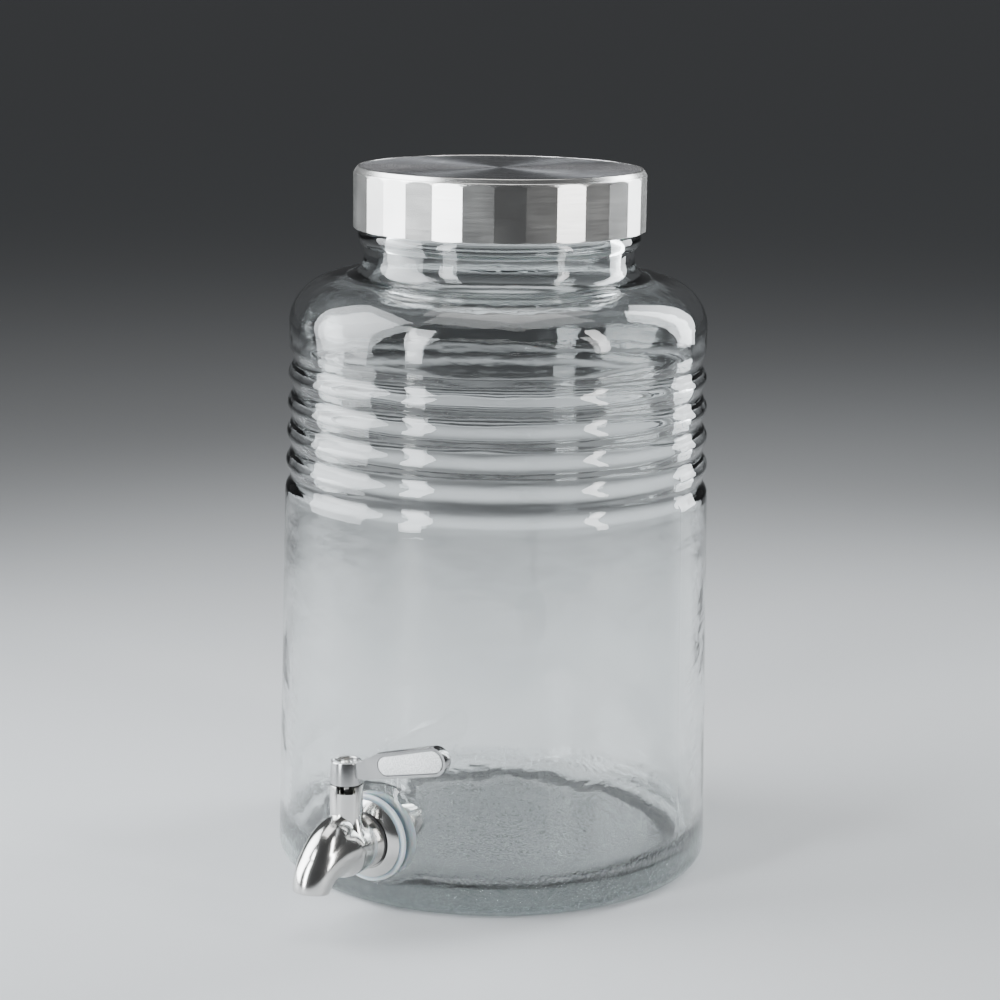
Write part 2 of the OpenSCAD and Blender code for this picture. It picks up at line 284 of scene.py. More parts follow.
    @classmethod
    def put(cls, piece: Piece, matrix: Matrix) -> Piece:
        """Moves a piece by a matrix and writes its place into its mesh."""
        cls.pick(piece)
        piece.matrix_world = matrix
        bpy.ops.object.transform_apply(location=True, rotation=True, scale=True)
        return piece

    @classmethod
    def join(cls, piece: Piece, tool: Piece, operation: str = "DIFFERENCE") -> Piece:
        """Cuts a tool from a piece, or adds it, and throws the tool away.

        Args:
            piece: The piece that is kept.
            tool: The piece that is used up.
            operation: DIFFERENCE, UNION or INTERSECT.

        Returns:
            The kept piece.
        """
        modifier = piece.modifiers.new("joint", "BOOLEAN")
        modifier.object = tool
        modifier.operation = operation
        modifier.solver = "MANIFOLD"
        cls.pick(piece)
        bpy.ops.object.modifier_apply(modifier=modifier.name)
        bpy.data.objects.remove(tool)
        return piece

    @classmethod
    def round_edges(cls, piece: Piece, width: float, angle: float = 35, segments: int = 2) -> Piece:
        """Rounds every edge that turns by more than an angle.

        Args:
            piece: The piece.
            width: Width of the rounding, in millimetres.
            angle: The least turn that counts as an edge, in degrees.
            segments: Number of steps across the rounding.

        Returns:
            The same piece.
        """
        modifier = piece.modifiers.new("rounding", "BEVEL")
        modifier.width = width * MM
        modifier.segments = segments
        modifier.limit_method = "ANGLE"
        modifier.angle_limit = math.radians(angle)
        modifier.use_clamp_overlap = True
        cls.pick(piece)
        bpy.ops.object.modifier_apply(modifier=modifier.name)
        return piece

    @classmethod
    def soften(cls, piece: Piece, voxel: float, passes: int) -> Piece:
        """Turns a piece into one even skin and relaxes it, so that a seam becomes a soft crease.

        Args:
            piece: The piece.
            voxel: Size of the skin's cells, in millimetres.
            passes: How often each point moves half way to the middle of its neighbours.

        Returns:
            The same piece.
        """
        skin = piece.modifiers.new("skin", "REMESH")
        skin.mode = "VOXEL"
        skin.voxel_size = voxel * MM
        relax = piece.modifiers.new("relax", "SMOOTH")
        relax.factor = 0.5
        relax.iterations = passes
        cls.pick(piece)
        bpy.ops.object.modifier_apply(modifier=skin.name)
        bpy.ops.object.modifier_apply(modifier=relax.name)
        return piece

    @classmethod
    def smooth(cls, piece: Piece, angle: float = 30) -> Piece:
        """Shades a piece smooth, apart from the edges that turn by more than an angle in degrees."""
        cls.pick(piece)
        bpy.ops.object.shade_smooth_by_angle(angle=math.radians(angle))
        return piece


class Signal:
    """A shader socket that Python's arithmetic works on."""

    def __init__(self, book: "NodeBook", socket: bpy.types.NodeSocket) -> None:
        """Wraps one output socket of a node book."""
        self.book = book
        self.socket = socket

    def maths(self, operation: str, *values: Any) -> "Signal":
        """Adds a Math node on these values, this signal first where it is among them."""
        return self.book.node("ShaderNodeMath", {"operation": operation}, dict(enumerate(values)))

    def __add__(self, other: Any) -> "Signal":
        """This plus other."""
        return self.maths("ADD", self, other)

    def __radd__(self, other: Any) -> "Signal":
        """Other plus this."""
        return self.maths("ADD", other, self)

    def __sub__(self, other: Any) -> "Signal":
        """This minus other."""
        return self.maths("SUBTRACT", self, other)

    def __rsub__(self, other: Any) -> "Signal":
        """Other minus this."""
        return self.maths("SUBTRACT", other, self)

    def __mul__(self, other: Any) -> "Signal":
        """This times other."""
        return self.maths("MULTIPLY", self, other)

    def __rmul__(self, other: Any) -> "Signal":
        """Other times this."""
        return self.maths("MULTIPLY", other, self)

    def clamp(self, low: float, high: float) -> "Signal":
        """A soft ramp from zero at low to one at high."""
        return self.book.node("ShaderNodeMapRange", {"interpolation_type": "SMOOTHSTEP"},
                              {"Value": self, "From Min": low, "From Max": high})


class NodeBook:
    """The node tree of one new material, written node by node."""

    def __init__(self, name: str) -> None:
        """Makes an empty material with an output node."""
        self.material = bpy.data.materials.new(name)
        self.material.use_nodes = True
        self.tree = self.material.node_tree
        self.tree.nodes.clear()
        self.output = self.tree.nodes.new("ShaderNodeOutputMaterial")

    def node(self, kind: str, settings: Optional[dict[str, Any]] = None,
             sockets: Optional[dict[Any, Any]] = None, out: Any = 0) -> Signal:
        """Adds a node.

        Args:
            kind: The node's type.
            settings: Its properties; a ramp's stops are given as "stops".
            sockets: Values or signals of its inputs, by name or number.
            out: The output that is passed on, by name or number.

        Returns:
            The chosen output.
        """
        made = self.tree.nodes.new(kind)
        for key, value in (settings or {}).items():
            if key == "stops":
                while len(made.color_ramp.elements) < len(value):
                    made.color_ramp.elements.new(0.5)
                for element, (place, shade) in zip(made.color_ramp.elements, value):
                    element.position = place
                    element.color = (*shade, 1) if len(shade) == 3 else shade
            else:
                setattr(made, key, value)
        for key, value in (sockets or {}).items():
            if isinstance(value, Signal):
                self.tree.links.new(value.socket, made.inputs[key])
            else:
                made.inputs[key].default_value = value
        return Signal(self, made.outputs[out])

    def place(self, scale: Sequence[float] = (1, 1, 1)) -> Signal:
        """Object coordinates in metres, stretched by a scale along each axis."""
        spot = self.node("ShaderNodeTexCoord", out="Object")
        return self.node("ShaderNodeVectorMath", {"operation": "MULTIPLY"}, {0: spot, 1: tuple(scale)})

    def part(self, axis: str) -> Signal:
        """One of the object coordinates, in metres."""
        spot = self.node("ShaderNodeTexCoord", out="Object")
        return self.node("ShaderNodeSeparateXYZ", sockets={0: spot}, out=axis)

    def radius(self, centre: Sequence[float] = (0, 0, 0), across: Sequence[float] = (1, 1, 0)) -> Signal:
        """Distance from a line, in metres.

        Args:
            centre: A point on the line.
            across: One for each axis that the line doesn't run along.

        Returns:
            The distance.
        """
        spot = self.node("ShaderNodeTexCoord", out="Object")
        off = self.node("ShaderNodeVectorMath", {"operation": "SUBTRACT"}, {0: spot, 1: tuple(centre)})
        flat = self.node("ShaderNodeVectorMath", {"operation": "MULTIPLY"}, {0: off, 1: tuple(across)})
        return self.node("ShaderNodeVectorMath", {"operation": "LENGTH"}, {0: flat}, out="Value")

    def grain(self, spot: Signal, scale: float, detail: float = 3, rough: float = 0.5) -> Signal:
        """Noise of about one, round a middle of a half.

        Args:
            spot: The coordinates it is read at.
            scale: Cells in each unit of them.
            detail: Number of finer layers.
            rough: Strength of the finer layers.

        Returns:
            The noise as a number.
        """
        return self.node("ShaderNodeTexNoise", {"noise_dimensions": "3D"},
                         {"Vector": spot, "Scale": scale, "Detail": detail, "Roughness": rough})

    def blend(self, mask: Any, first: Any, second: Any) -> Signal:
        """A colour that goes from first to second with a mask."""
        return self.node("ShaderNodeMix", {"data_type": "RGBA"},
                         {"Factor": mask, 6: first, 7: second}, out=2)

    def bump(self, height: Signal, distance: float, strength: float = 1,
             under: Optional[Signal] = None) -> Signal:
        """A normal bent by a height field.

        Args:
            height: The field, of about one.
            distance: Height of one unit, in metres.
            strength: Share of the bump that is used.
            under: A normal that this one is laid on.

        Returns:
            The bent normal.
        """
        sockets = {"Height": height, "Distance": distance, "Strength": strength}
        if under is not None:
            sockets["Normal"] = under
        return self.node("ShaderNodeBump", sockets=sockets)

    def finish(self, **sockets: Any) -> bpy.types.Material:
        """Adds the shader with these inputs, spaces written as underscores, and links the output."""
        named = {key.replace("_", " "): value for key, value in sockets.items()}
        shader = self.node("ShaderNodeBsdfPrincipled", sockets=named, out="BSDF")
        self.tree.links.new(shader.socket, self.output.inputs["Surface"])
        return self.material


@dataclass(frozen=True)
class Glass:
    """Clear blown glass, rippled on the wall and stippled at the foot."""

    name: str = "clear_glass"
    tint: tuple[float, float, float, float] = (0.97, 0.985, 0.985, 1)
    depth_tint: tuple[float, float, float, float] = (0.70, 0.86, 0.86, 1)
    depth_density: float = 4.5
    ripple: float = 0.07 * MM
    stipple: float = 0.16 * MM
    stipple_top: float = 26 * MM
    seam_width: float = 1.2 * MM
    seam_height: float = 0.04 * MM
    outer_r: float = 88 * MM

    def make(self) -> bpy.types.Material:
        """Builds the material."""
        book = NodeBook(self.name)
        height = book.part("Z")
        ripples = book.grain(book.place((1, 1, 2.4)), 95, 2, 0.45)
        foot = 1 - height.clamp(self.stipple_top * 0.5, self.stipple_top)
        cells = book.grain(book.place(), 620, 2, 0.55).clamp(0.42, 0.62)
        seam = 1 - book.part("Y").maths("ABSOLUTE", book.part("Y")).clamp(0, self.seam_width)
        seam = seam * book.radius().clamp(self.outer_r - MM, self.outer_r)
        waves = book.bump(ripples, self.ripple)
        pits = book.bump(cells * foot, self.stipple, under=waves)
        edge = book.bump(seam, self.seam_height, under=pits)
        material = book.finish(
            Base_Color=self.tint, Roughness=foot * 0.05 + 0.008, IOR=1.5, Transmission_Weight=1.0,
            Normal=edge)
        volume = book.node("ShaderNodeVolumeAbsorption", sockets={"Color": self.depth_tint,
                           "Density": self.depth_density}, out="Volume")
        book.tree.links.new(volume.socket, book.output.inputs["Volume"])
        return material


class Grain(Enum):
    """How a steel surface was finished."""

    POLISHED = (0.0, (1, 1, 1))
    SATIN = (0.10, (60, 60, 1400))
    FINE_SATIN = (0.08, (500, 500, 500))
    SPUN = (0.14, (0, 0, 0))
    MACHINED = (0.10, (300, 300, 300))


@dataclass(frozen=True)
class Steel:
    """Stainless steel."""

    name: str
    grain: Grain
    color: tuple[float, float, float, float] = (0.75, 0.74, 0.72, 1)
    roughness: float = 0.1
    anisotropy: float = 0.0

    def make(self) -> bpy.types.Material:
        """Builds the material."""
        book = NodeBook(self.name)
        swing, stretch = self.grain.value
        if self.grain is Grain.SPUN:
            lines = book.node("ShaderNodeTexNoise", {"noise_dimensions": "1D"},
                              {"W": book.radius(), "Scale": 2600, "Detail": 4, "Roughness": 0.7})
        else:
            lines = book.grain(book.place(stretch), 1, 3, 0.6)
        smudge = book.grain(book.place(), 55, 3, 0.6)
        gloss = smudge * 0.06 + self.roughness - 0.03
        if self.grain is not Grain.POLISHED:
            gloss = gloss + (lines - 0.5) * swing
            normal = book.bump(lines, 0.012 * MM, 0.6)
        else:
            normal = book.bump(book.grain(book.place(), 110, 1, 0.4), 0.010 * MM, 0.5)
        dark = tuple(0.86 * c for c in self.color[:3]) + (1,)
        return book.finish(Base_Color=book.blend(smudge.clamp(0.35, 0.7), dark, self.color), Metallic=1.0,
                           Roughness=gloss, Anisotropic=self.anisotropy, Normal=normal)


@dataclass(frozen=True)
class Moulded:
    """A moulded plastic or rubber with a fine grain."""

    name: str
    color: tuple[float, float, float, float]
    roughness: float
    grain_scale: float = 900
    grain_depth: float = 0.02 * MM
    mottle: float = 0.0

    def make(self) -> bpy.types.Material:
        """Builds the material."""
        book = NodeBook(self.name)
        pores = book.grain(book.place(), self.grain_scale, 2, 0.6)
        cloud = book.grain(book.place(), 70, 3, 0.55)
        dark = tuple((0.88 - 0.25 * self.mottle) * c for c in self.color[:3]) + (1,)
        mask = (cloud * (1 - self.mottle) + pores * self.mottle).clamp(0.38, 0.62)
        return book.finish(
            Base_Color=book.blend(mask, dark, self.color),
            Roughness=cloud * 0.1 + self.roughness - 0.05, Normal=book.bump(pores, self.grain_depth))


@dataclass(frozen=True)
class Silicone:
    """Translucent bluish silicone whose outer rim is painted pale, a painted highlight as on the tap's
    washers.
    """

    name: str = "silicone"
    body: tuple[float, float, float, float] = (0.50, 0.62, 0.69, 1)
    # rim is the painted highlight colour of the outer edge; the two distances below are where that painted
    # highlight fades in
    rim: tuple[float, float, float, float] = (0.86, 0.93, 0.96, 1)
    painted_highlight_from: float = 16.5 * MM
    painted_highlight_to: float = 17.7 * MM

    def make(self) -> bpy.types.Material:
        """Builds the material."""
        book = NodeBook(self.name)
        # The outer rim band is painted paler: a painted highlight on the washer's edge, not the silicone's
        # own colour.
        pale = book.radius((0, 0, middle_of("flange", Z) * MM), (1, 0, 1)).clamp(self.painted_highlight_from, self.painted_highlight_to)
        cloud = book.grain(book.place(), 90, 3, 0.55)
        pores = book.grain(book.place(), 500, 2, 0.6)
        return book.finish(
            Base_Color=book.blend(pale * 0.85 + cloud * 0.15, self.body, self.rim),
            Roughness=cloud * 0.12 + 0.26, Transmission_Weight=0.18, Subsurface_Weight=0.25,
            Subsurface_Scale=2 * MM, Normal=book.bump(pores, 0.012 * MM))


class Finishes:
    """Every finish of the object, by the record's slot."""

    def __init__(self) -> None:
        """Makes each material once."""
        kinds = [
            Glass(),
            Steel("satin_steel", Grain.SATIN, (0.76, 0.75, 0.73, 1), 0.24, 0.4),
            Steel("spun_steel", Grain.SPUN, (0.66, 0.66, 0.68, 1), 0.26, 0.85),
            Steel("polished_steel", Grain.POLISHED, (0.76, 0.75, 0.73, 1), 0.16),
            Steel("lever_steel", Grain.FINE_SATIN, (0.52, 0.52, 0.52, 1), 0.19),
            Steel("threaded_steel", Grain.MACHINED, (0.68, 0.67, 0.65, 1), 0.24),
            Silicone(),
            Moulded("black_rubber", (0.025, 0.025, 0.027, 1), 0.45),
            Moulded("liner_plastic", (0.86, 0.87, 0.86, 1), 0.42),
            Moulded("pad_plastic", (0.82, 0.83, 0.83, 1), 0.6, 1700, 0.16 * MM, 0.85),
        ]
        self.made = {kind.name: kind.make() for kind in kinds}

    def dress(self, piece: Piece, slot: str) -> None:
        """Gives a piece one finish all over."""
        piece.data.materials.clear()
        piece.data.materials.append(self.made[slot])

    def add(self, piece: Piece, slot: str, body: Body, *nodes: str) -> None:
        """Dresses a new piece, sets it on its body and lets it stand for its CAD nodes.

        Args:
            piece: The finished piece.
            slot: The record's slot it takes its finish from.
            body: The body that it rides on.
            *nodes: The CAD nodes that it stands for.
        """
        self.dress(piece, slot)
        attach(piece, body.value)
        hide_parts(*nodes)
        log.info("%s: %d faces on %s", piece.name, len(piece.data.polygons), body.value)


@dataclass
class Jar:
    """The glass jar. Sizes are in millimetres."""

    body_r: float = 90.0
    taper: float = 0.019
    wall: float = 4.4
    floor: float = 9.0
    punt: float = 2.5
    foot_in: float = 74.0
    heel: float = 6.5
    groove_z: float = 159.2
    groove_pitch: float = 12.2
    groove_count: int = 5
    groove_depth: float = 2.05
    rib_taper: float = 0.03
    shoulder_z: float = 229.0
    shoulder: tuple[float, float] = (23.0, 20.2)
    neck_z: float = 257.0
    neck_r: float = 56.2
    bead: tuple[float, float, float] = (58.6, 265.2, 5.0)
    finish_r: float = 54.5
    finish_top: float = high_of("glass_jar", Z)
    seat_y: float = -low_of("glass_jar", Y)
    seat_z: float = middle_of("flange", Z)
    seat_r: float = 19.5
    hole_r: float = 6.5
    thread_z: float = 275.5
    thread_pitch: float = 8.0
    thread_h: float = 1.8
    ripple_span: tuple[float, float] = (14.0, 232.0)
    ripple: tuple[float, float] = (0.22, 0.10)
    steps: int = 256

    def side_r(self, z: float) -> float:
        """Outside radius of the plain side at a height."""
        return self.body_r + self.taper * (100 - z)

    def rib_r(self, z: float, keep: float) -> float:
        """Outside radius through the grooves, with a share of their depth."""
        swing = 1 - math.cos(math.tau * (z - self.groove_z) / self.groove_pitch)
        return (self.side_r(self.groove_z) - self.rib_taper * (z - self.groove_z)
                - keep * self.groove_depth * swing / 2)

    def outside(self) -> list[tuple[float, float]]:
        """The outer profile, from the middle of the base to the lip."""
        groove_top = self.groove_z + self.groove_count * self.groove_pitch
        shoulder_r = self.rib_r(groove_top, 0)
        fillet = shoulder_r - self.shoulder[0] - self.neck_r
        foot = [(self.foot_in * i / 12, self.punt * (1 - (i / 12) ** 2)) for i in range(13)]
        heel_r = self.side_r(self.heel)
        side = [(self.side_r(z), z) for z in range(10, 158, 3)]
        ribs = [(self.rib_r(self.groove_z + i * 0.76, 1), self.groove_z + i * 0.76) for i in range(1, 80)]
        drop = self.neck_z - self.shoulder_z - self.shoulder[1]
        lip = self.wall / 2
        bead_r, bead_z, bead_arc = self.bead
        return [
            *foot,
            *arc((heel_r - self.heel, self.heel), (self.heel, self.heel), -90, 0, 10),
            *side,
            *ribs,
            *[(shoulder_r, z) for z in (222, 225.5)],
            *arc((shoulder_r - self.shoulder[0], self.shoulder_z), self.shoulder, 0, 90, 24),
            *arc((self.neck_r + fillet, self.neck_z), (fillet, drop), 262, 180, 8),
            *arc((bead_r - bead_arc, bead_z), (bead_arc, bead_arc), -52, 50, 12),
            (self.finish_r + 0.5, 269.8),
            (self.finish_r, 270.6),
            *[(self.finish_r, z) for z in range(273, 286, 2)],
            *arc((self.finish_r - lip, self.finish_top - lip), (lip, lip), 0, 90, 6),
        ]

    def inside(self) -> list[tuple[float, float]]:
        """The inner profile, from the lip down to the middle of the floor."""
        groove_top = self.groove_z + self.groove_count * self.groove_pitch
        in_r = self.rib_r(groove_top, 0) - self.wall
        in_a = self.shoulder[0] - 1
        mouth_r = self.finish_r - self.wall
        lip = self.wall / 2
        drop = self.neck_z - self.shoulder_z - self.shoulder[1] + self.wall
        heel_r = self.side_r(self.floor) - self.wall
        corner = 12.0
        up = [
            *[(r, self.floor + self.punt * 0.6 * (1 - r / 75.0) ** 2) for r in range(0, 75, 6)],
            *arc((heel_r - corner, self.floor + corner), (corner, corner), -90, 0, 10),
            *[(self.side_r(z) - self.wall, z) for z in range(25, 158, 4)],
            *[(self.rib_r(self.groove_z + i * 1.22, 0.5) - self.wall, self.groove_z + i * 1.22)
              for i in range(1, 50)],
            *arc((in_r - in_a, self.shoulder_z - 1), (in_a, self.shoulder[1] - self.wall + 1), 0, 90, 18),
            *arc((mouth_r + 9, self.neck_z), (9, drop), 262, 180, 8),
            *[(mouth_r, z) for z in range(261, 286, 4)],
            *arc((mouth_r + lip, self.finish_top - lip), (lip, lip), 180, 100, 5),
        ]
        return up[::-1]

    def shape_wall(self, piece: Piece) -> None:
        """Flattens the tap's seat on both sides of the wall and ripples the inside of the jar."""
        low, high = self.ripple_span
        broad, fine = self.ripple
        for vert in piece.data.vertices:
            x, y, z = vert.co / MM
            r = math.hypot(x, y)
            if r < 20 or z > 288:
                continue
            middle = self.side_r(z) - self.wall / 2
            if low < z < high and r > 60 and (r < middle or z > 220):
                spot = Vector((x, y, z * 1.3)) * 0.035
                wave = broad * noise.noise(spot) + fine * noise.noise(spot * 2.7)
                x, y = x * (1 + wave / r), y * (1 + wave / r)
            reach = math.hypot(x, z - self.seat_z)
            if y < 0 and reach < self.seat_r + 7 and r > 70:
                flat = 1 - smooth_step(self.seat_r, self.seat_r + 6, reach)
                goal = -self.seat_y + (self.wall if r < middle else 0)
                y += (goal - y) * flat
            vert.co = Vector((x, y, z)) * MM

    def build(self, finishes: Finishes) -> None:
        """Blows the jar, presses its seat, cuts the tap's hole and adds the thread."""
        piece = Bench.lathe("glass_jar_blown", [*self.outside(), *self.inside()], self.steps, closed=False)
        self.shape_wall(piece)
        past = 8
        drill = Bench.rod("drill", self.hole_r, self.seat_y - self.wall - past, self.seat_y + past, 64)
        Bench.put(drill, Tap.along(self.seat_z))
        Bench.join(piece, drill)
        Bench.join(piece, Bench.ridge("neck_thread", self.finish_r - 0.6, self.finish_r + self.thread_h,
                                      (3.4, 1.2), self.thread_pitch, self.thread_z, 1.25), "UNION")
        Bench.smooth(piece, 40)
        finishes.add(piece, "clear_glass", Body.JAR, "glass_jar")


@dataclass
class Lid:
    """The faceted band and the spun plate. Sizes are in millimetres."""

    corner_r: float = high_of("lid_band", X)
    facets: int = 30
    columns: int = 8
    low: float = low_of("lid_band", Z)
    high: float = high_of("lid_band", Z)
    inside_r: float = 59.3
    plate_r: float = 57.9
    plate_t: float = 1.8

    def facet_r(self, turn: float) -> float:
        """Radius of the flat facets at an angle."""
        step = math.tau / self.facets
        off = (turn + step / 2) % step - step / 2
        return self.corner_r * math.cos(step / 2) / math.cos(step / 2 - abs(off))

    def band(self) -> Piece:
        """The band: a spun section whose outside is then pressed flat, facet by facet."""
        edge = self.corner_r - 1.75
        section = [
            (self.inside_r, self.low + 0.2),
            (self.inside_r + 0.3, self.low),
            (self.corner_r - 0.45, self.low),
            *arc((self.corner_r - 0.45, self.low + 0.45), (0.45, 0.45), -60, 0, 3),
            *[(self.corner_r, self.low + 0.9 + i * (20.6 / 8)) for i in range(9)],
            *arc((self.corner_r - 0.95, self.low + 21.6), (0.95, 2.0), 8, 70, 8),
            *arc((edge - 0.35, self.high - 0.45), (0.55, 0.45), 35, 90, 4),
            *arc((self.plate_r + 0.2, self.high - 0.2), (0.2, 0.2), 90, 180, 3),
            (self.plate_r, self.high - self.plate_t),
            (self.inside_r, self.high - self.plate_t),
        ]
        steps = self.facets * self.columns
        piece = Bench.lathe("lid_band_facets", section, steps)
        for vert in piece.data.vertices:
            r = math.hypot(vert.co.x, vert.co.y)
            limit = self.facet_r(math.atan2(vert.co.y, vert.co.x)) * MM
            if r > limit:
                vert.co.x *= limit / r
                vert.co.y *= limit / r
        return Bench.smooth(piece, 8)

    def plate(self) -> Piece:
        """The spun plate, barely dished, with a rounded rim."""
        top = self.high - 0.12
        rise = 0.25
        r = self.plate_r - 0.06
        dish = [(r * k / 14, top - rise * (1 - (k / 14) ** 2)) for k in range(14)]
        section = [*dish, *arc((r - 0.3, top - 0.3), (0.3, 0.3), 90, 0, 4), (r, self.high - self.plate_t),
                   (0, self.high - self.plate_t)]
        return Bench.smooth(Bench.lathe("lid_plate_spun", section, 160, closed=False), 30)

    def build(self, finishes: Finishes) -> None:
        """Builds both pieces of the lid that show."""
        finishes.add(self.band(), "satin_steel", Body.LID, "lid_band")
        finishes.add(self.plate(), "spun_steel", Body.LID, "lid_top_plate")


@dataclass
class Tap:
    """The fixed part of the tap. Sizes are in millimetres, and a distance is counted from the jar's axis."""

    axis_z: float = middle_of("flange", Z)
    seat_y: float = -low_of("glass_jar", Y)
    glass: float = 4.4
    washer_r: float = 18.0
    washer_t: float = 2.0
    shank_r: float = 6.0
    shank_in: float = -high_of("threaded_shank", Y)
    thread_pitch: float = 1.75
    thread_depth: float = 0.95
    thread_end: float = 90.2
    flange_r: float = 16.1
    flange_t: float = 2.6
    barrel_r: float = 11.2
    barrel_y: float = -high_of("tap_body", Y)
    weld_y: float = -high_of("spout", Y)
    stem_y: float = -middle_of("stem_o_rings", Y)
    housing_r: float = 6.6
    housing_top: float = high_of("tap_body", Z)
    over_tap: float = 60.0
    notch_h: float = 2.8
    notches: tuple[tuple[float, float], ...] = ((-88.6, -21.5), (81.4, 188.6))
    bore_low: float = low_of("seat_sleeve", Z)
    bore_r: float = 5.0
    water_r: float = 4.0
    tip_y: float = 132.1
    tip_z: float = 18.6
    tip_r: float = 7.3
    tip_bore: float = 5.4
    tip_lean: float = math.radians(9)
    tip_reach: float = 12.15
    hump_path: tuple[tuple[float, float], ...] = ((108, 8.2), (113.5, 9.8), (121.5, 8.6), (127.3, -2.2))
    hump_r: tuple[float, float] = (5.9, 8.4)
    column_foot: tuple[float, ...] = (22.2, 26.0, 30.0)
    flare_r: float = 3.0
    nut: tuple[float, float] = (18.0, 6.0)

    @staticmethod
    def along(axis_z: float) -> Matrix:
        """Turns a lathed piece so that its height becomes the distance from the jar's axis."""
        return Matrix.Translation((0, 0, axis_z * MM)) @ Matrix.Rotation(math.pi / 2, 4, "X")

    def ring(self, name: str, section: Profile, steps: int = 96) -> Piece:
        """Lathes a closed section and turns it onto the tap's axis."""
        piece = Bench.lathe(name, section, steps)
        Bench.put(piece, self.along(self.axis_z))
        return Bench.smooth(piece, 35)

    def washer(self, name: str, start: float) -> Piece:
        """A silicone washer with soft edges and a shallow lip."""
        r, inner, t, soft = self.washer_r, self.shank_r + 0.1, self.washer_t, 0.55
        section = [
            (inner, start), (r - soft, start),
            *arc((r - soft, start + soft), (soft, soft), -70, 0, 3),
            *arc((r - soft, start + t - soft), (soft, soft), 0, 90, 4),
            (r - 1.3, start + t), (r - 1.5, start + t - 0.12), (inner, start + t - 0.12),
        ]
        return self.ring(name, section)

    def flange(self) -> Piece:
        """The conical flange in front of the outer washer."""
        start = self.seat_y + self.washer_t
        r, front, inner = self.flange_r, start + self.flange_t, self.shank_r - 0.9
        section = [
            (inner, start), (r - 0.25, start), (r, start + 0.25), (r, start + 0.65),
            (r - 0.25, start + 0.95), (self.barrel_r + 1.1, front - 0.12), (self.barrel_r + 0.75, front),
            (self.barrel_r + 0.45, front - 0.1), (self.barrel_r + 0.4, front - 0.3), (inner, front - 0.3),
        ]
        return self.ring("flange_cone", section)

    def seal(self) -> Piece:
        """The dark ring between the flange and the barrel."""
        start = self.seat_y + self.washer_t + self.flange_t - 0.3
        r, inner = self.barrel_r + 0.1, self.shank_r - 0.9
        t = self.barrel_y - start
        section = [(inner, start), (r - 0.3, start), *arc((r - 0.4, start + t / 2), (0.4, t / 2), -80, 80, 6),
                   (r - 0.3, start + t), (inner, start + t)]
        return self.ring("flange_seal_ring", section)

    def shank(self) -> Piece:
        """The hollow shank with a true helical thread and a plain neck."""
        crest, root = self.shank_r, self.shank_r - self.thread_depth
        turns = (self.thread_end - self.shank_in) / self.thread_pitch - 1
        start, stop, soft = self.shank_in, self.barrel_y - 0.05, 0.3
        core = Bench.lathe("shank_threaded", [
            (self.water_r, start + soft), (self.water_r + soft, start), (root - soft, start),
            (root, start + soft), (root, stop), (self.water_r, stop)], 60)
        thread = Bench.ridge("thread", root - 0.2, crest, (self.thread_pitch * 0.98, 0.2), self.thread_pitch,
                             self.shank_in + self.thread_pitch / 2, turns, 36)
        Bench.join(core, thread, "UNION")
        Bench.put(core, self.along(self.axis_z))
        return Bench.smooth(core, 28)

    @staticmethod
    def bend(corners: Sequence[Vector], t: float) -> tuple[Vector, Vector]:
        """Centre and direction, as (distance, height), at t from 0 to 1 of a curve with four corners."""
        s = 1 - t
        centre = (s ** 3 * corners[0] + 3 * t * s * s * corners[1] + 3 * t * t * s * corners[2]
                  + t ** 3 * corners[3])
        slope = (s * s * (corners[1] - corners[0]) + 2 * t * s * (corners[2] - corners[1])
                 + t * t * (corners[3] - corners[2]))
        return centre, slope.normalized()

    def elbow(self) -> list[Vector]:
        """Corners of the spout's curve, from the weld to the tip, as (distance, height)."""
        tip = Vector((self.tip_y, self.tip_z))
        return [Vector((self.weld_y, self.axis_z + 0.2)), Vector((self.weld_y + 6.8, self.axis_z + 2.4)),
                tip + self.tip_reach * Vector((-math.sin(self.tip_lean), math.cos(self.tip_lean))), tip]

    def hump(self) -> list[Vector]:
        """Corners of the hump's curve, from inside the valve housing onto the elbow."""
        return [Vector((spot, self.axis_z + rise)) for spot, rise in self.hump_path]

    def elbow_r(self, t: float) -> float:
        """Outside radius of the spout at a share of its curve."""
        return self.barrel_r - (self.barrel_r - self.tip_r) * t ** 1.3

    def top_of(self, x: float, distance: float) -> float:
        """Height of the barrel's or the spout's upper surface over a point."""
        t = 0.0
        centre = Vector((distance, self.axis_z))
        while distance > self.weld_y and centre.x <= distance and t < 1:
            t += 0.01
            centre = self.bend(self.elbow(), t)[0]
        r = self.elbow_r(t)
        return centre.y + math.sqrt(max(r * r - x * x, 0.01))

    def tube(self, name: str, corners: Sequence[Vector], radii: Sequence[tuple[float, float]], upright: float,
             sides: int = 64) -> Piece:
        """A tube along a curve.

        Args:
            name: Name of the piece.
            corners: The four corners of the curve, as (distance, height).
            radii: Share of the curve and radius of each ring, in millimetres.
            upright: Share of the curve over which the rings turn from upright to square on the curve.
            sides: Points in a ring.

        Returns:
            The closed piece.
        """
        made = []
        for share, r in radii:
            centre, slope = self.bend(corners, share)
            lean = smooth_step(-0.01, upright, share) if upright else 1
            way = Vector((1, 0)).lerp(slope, lean).normalized()
            made.append([Vector((r * math.cos(a), -(centre.x - r * math.sin(a) * way.y),
                                 centre.y + r * math.sin(a) * way.x)) * MM
                         for a in (math.tau * i / sides for i in range(sides))])
        return Bench.loft(name, made)

    def core(self, name: str, r: float, low: float, high: float) -> Piece:
        """A plain upright core on the stem's axis."""
        return Bench.put(Bench.rod(name, r, low, high, 72), Matrix.Translation((0, -self.stem_y * MM, 0)))

    def lying(self, name: str, r: float, start: float, stop: float, steps: int) -> Piece:
        """A plain core along the tap's axis, between two distances from the jar's axis."""
        return Bench.put(Bench.rod(name, r, start, stop, steps), self.along(self.axis_z))

